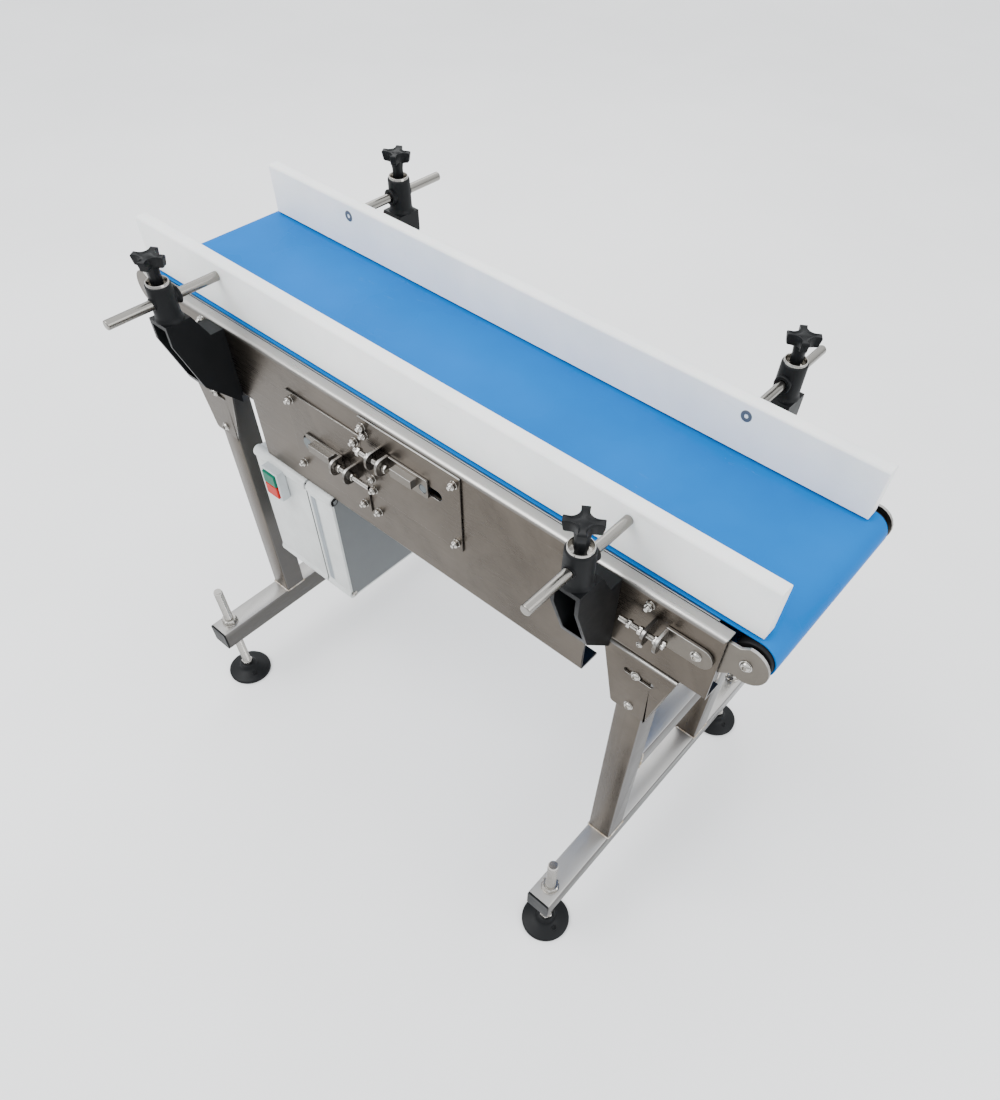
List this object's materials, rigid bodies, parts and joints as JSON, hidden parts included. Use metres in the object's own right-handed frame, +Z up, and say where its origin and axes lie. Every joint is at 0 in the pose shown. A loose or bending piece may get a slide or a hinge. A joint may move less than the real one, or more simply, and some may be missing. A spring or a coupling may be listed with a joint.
{
  "type": "belt conveyor section",
  "caption": "Short powered belt conveyor with a flat blue belt, clamped adjustable side guides, stainless side plates and welded legs on levelling feet.",
  "frame": {"origin": "on the floor under the middle of the bed", "axes": "+X along the belt towards the take-up end, +Z up, -Y towards the side with the control box"},
  "size_m": [1.0498, 0.61, 0.832],
  "materials": {
    "brushed_steel": "satin stainless sheet and tube",
    "bright_steel": "bright stainless",
    "blue_belt": "glossy blue polyurethane belt",
    "white_board": "milky white polyethylene",
    "black_plastic": "moulded black nylon",
    "pale_plastic": "pale grey moulded enclosure",
    "grey_plastic": "light grey moulded frame",
    "green_plastic": "green key",
    "red_plastic": "red key"
  },
  "bodies": {
    "frame": {"belt": "blue_belt", "box_base": "pale_plastic", "box_lid": "pale_plastic", "clamp_bracket_left_far": "black_plastic", "clamp_bracket_left_near": "black_plastic", "clamp_bracket_right_far": "black_plastic", "clamp_bracket_right_near": "black_plastic", "drum_motor": "bright_steel", "drum_slide_plate_far": "brushed_steel", "drum_slide_plate_near": "brushed_steel", "drum_slider_far": "bright_steel", "drum_slider_near": "bright_steel", "fixed_cheek_far": "bright_steel", "fixed_cheek_near": "bright_steel", "fixed_end_shaft": "bright_steel", "foot_bar_cap_left_far": "black_plastic", "foot_bar_cap_left_near": "black_plastic", "foot_bar_cap_right_far": "black_plastic", "foot_bar_cap_right_near": "black_plastic", "leg_bracket_left_far": "brushed_steel", "leg_bracket_left_near": "brushed_steel", "leg_bracket_right_far": "brushed_steel", "leg_bracket_right_near": "brushed_steel", "leg_frame_left": "brushed_steel", "leg_frame_right": "brushed_steel", "push_button_frame": "grey_plastic", "side_plate_far": "brushed_steel", "side_plate_near": "brushed_steel", "slider_bed": "brushed_steel", "snub_shaft": "bright_steel", "snub_slide_plate_far": "brushed_steel", "snub_slide_plate_near": "brushed_steel", "snub_slider_far": "bright_steel", "snub_slider_near": "bright_steel"},
    "take_up": {"take_up_cheek_near": "bright_steel", "take_up_cheek_far": "bright_steel", "take_up_arm_near": "bright_steel", "take_up_arm_far": "bright_steel", "take_up_shaft": "bright_steel"},
    "take_up_roller": {"take_up_roller": "brushed_steel"},
    "fixed_end_roller": {"fixed_end_roller": "brushed_steel"},
    "drive_drum": {"drive_drum": "brushed_steel"},
    "snub_roller": {"snub_roller": "brushed_steel"},
    "guide_near": {"guide_near": "white_board", "guide_rod_left_near": "bright_steel", "guide_rod_right_near": "bright_steel"},
    "guide_far": {"guide_far": "white_board", "guide_rod_left_far": "bright_steel", "guide_rod_right_far": "bright_steel"},
    "start_button": {"start_button": "green_plastic"},
    "stop_button": {"stop_button": "red_plastic"},
    "knob_left_near": {"knob_left_near": "black_plastic"},
    "levelling_foot_left_near": {"levelling_foot_left_near": "black_plastic"},
    "knob_left_far": {"knob_left_far": "black_plastic"},
    "levelling_foot_left_far": {"levelling_foot_left_far": "black_plastic"},
    "knob_right_near": {"knob_right_near": "black_plastic"},
    "levelling_foot_right_near": {"levelling_foot_right_near": "black_plastic"},
    "knob_right_far": {"knob_right_far": "black_plastic"},
    "levelling_foot_right_far": {"levelling_foot_right_far": "black_plastic"}
  },
  "joints": [
    {"name": "take_up_slide", "type": "slide", "parent": "frame", "child": "take_up", "axis": [1, 0, 0], "range_m": [-0.008, 0]},
    {"name": "drive_drum_spin", "type": "hinge", "parent": "frame", "child": "drive_drum", "pos_m": [-0.167, 0, 0.614], "axis": [0, 1, 0], "continuous": true},
    {"name": "fixed_end_roller_spin", "type": "hinge", "parent": "frame", "child": "fixed_end_roller", "pos_m": [-0.5, 0, 0.7], "axis": [0, 1, 0], "continuous": true},
    {"name": "take_up_roller_spin", "type": "hinge", "parent": "take_up", "child": "take_up_roller", "pos_m": [0.5, 0, 0.7], "axis": [0, 1, 0], "continuous": true},
    {"name": "snub_roller_spin", "type": "hinge", "parent": "frame", "child": "snub_roller", "pos_m": [0.058, 0, 0.67], "axis": [0, 1, 0], "continuous": true},
    {"name": "guide_near_slide", "type": "slide", "parent": "frame", "child": "guide_near", "axis": [0, 1, 0], "range_m": [-0.04, 0.06]},
    {"name": "guide_far_slide", "type": "slide", "parent": "frame", "child": "guide_far", "axis": [0, -1, 0], "range_m": [-0.04, 0.06]},
    {"name": "knob_left_near_turn", "type": "hinge", "parent": "frame", "child": "knob_left_near", "pos_m": [-0.33, -0.203, 0.809], "axis": [0, 0, 1], "range_deg": [0, 540]},
    {"name": "knob_left_far_turn", "type": "hinge", "parent": "frame", "child": "knob_left_far", "pos_m": [-0.33, 0.203, 0.809], "axis": [0, 0, 1], "range_deg": [0, 540]},
    {"name": "knob_right_near_turn", "type": "hinge", "parent": "frame", "child": "knob_right_near", "pos_m": [0.33, -0.203, 0.809], "axis": [0, 0, 1], "range_deg": [0, 540]},
    {"name": "knob_right_far_turn", "type": "hinge", "parent": "frame", "child": "knob_right_far", "pos_m": [0.33, 0.203, 0.809], "axis": [0, 0, 1], "range_deg": [0, 540]},
    {"name": "start_button_press", "type": "slide", "parent": "frame", "child": "start_button", "axis": [0, 1, 0], "range_m": [0, 0.004], "stiffness_N_per_m": 400},
    {"name": "stop_button_press", "type": "slide", "parent": "frame", "child": "stop_button", "axis": [0, 1, 0], "range_m": [0, 0.004], "stiffness_N_per_m": 400},
    {"name": "levelling_foot_left_near_screw", "type": "slide", "parent": "frame", "child": "levelling_foot_left_near", "axis": [0, 0, 1], "range_m": [-0.06, 0.06]},
    {"name": "levelling_foot_left_far_screw", "type": "slide", "parent": "frame", "child": "levelling_foot_left_far", "axis": [0, 0, 1], "range_m": [-0.06, 0.06]},
    {"name": "levelling_foot_right_near_screw", "type": "slide", "parent": "frame", "child": "levelling_foot_right_near", "axis": [0, 0, 1], "range_m": [-0.06, 0.06]},
    {"name": "levelling_foot_right_far_screw", "type": "slide", "parent": "frame", "child": "levelling_foot_right_far", "axis": [0, 0, 1], "range_m": [-0.06, 0.06]}
  ],
  "couplings": [
    {"joint": "fixed_end_roller_spin", "follows": "drive_drum_spin", "ratio": 1.8875},
    {"joint": "take_up_roller_spin", "follows": "drive_drum_spin", "ratio": 1.8875},
    {"joint": "snub_roller_spin", "follows": "drive_drum_spin", "ratio": -2.1268}
  ]
}
